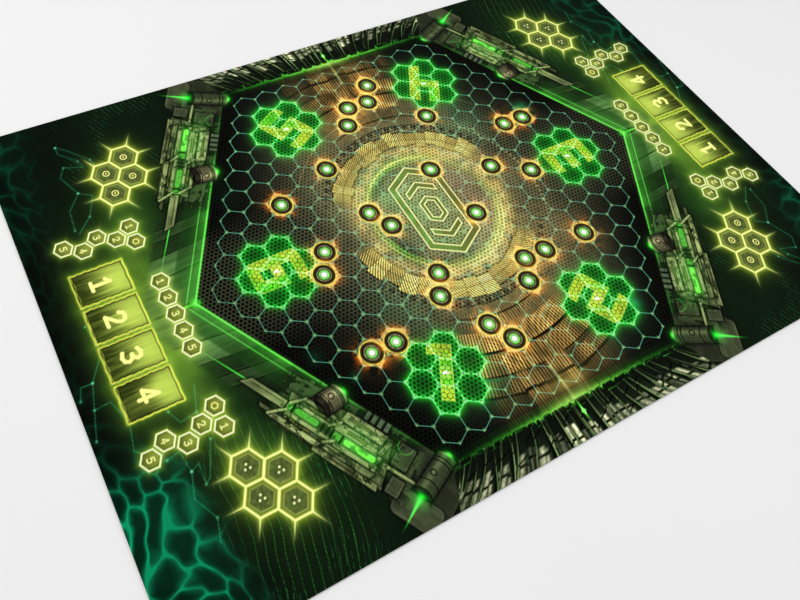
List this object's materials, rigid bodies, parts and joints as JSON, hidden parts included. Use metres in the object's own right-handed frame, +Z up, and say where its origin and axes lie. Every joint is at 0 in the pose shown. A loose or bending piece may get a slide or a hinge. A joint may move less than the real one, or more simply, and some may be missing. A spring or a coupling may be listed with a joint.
{
  "type": "tabletop gaming mat",
  "caption": "Flat rectangular gaming mat that lies on a table: a printed textile face bonded to a foamed rubber base, with a hexagonal arena for miniatures.",
  "frame": {"origin": "middle of the underside", "axes": "+X along the long side, +Y along the short side, +Z up through the printed face"},
  "size_m": [0.9144, 0.6096, 0.002],
  "materials": {
    "rubber_base": "foamed natural rubber, matt, fine open cells on the cut edge, pressed anti-slip grain on the underside",
    "bonding_film": "hot-melt adhesive film, satin, seen only as a hairline on the cut edge",
    "printed_face": "close-knit polyester with a dye-printed hexagonal arena, matt, faint knit grain"
  },
  "bodies": {
    "root": {"rubber_base": "rubber_base", "bonding_film": "bonding_film", "printed_face": "printed_face"}
  },
  "joints": []
}
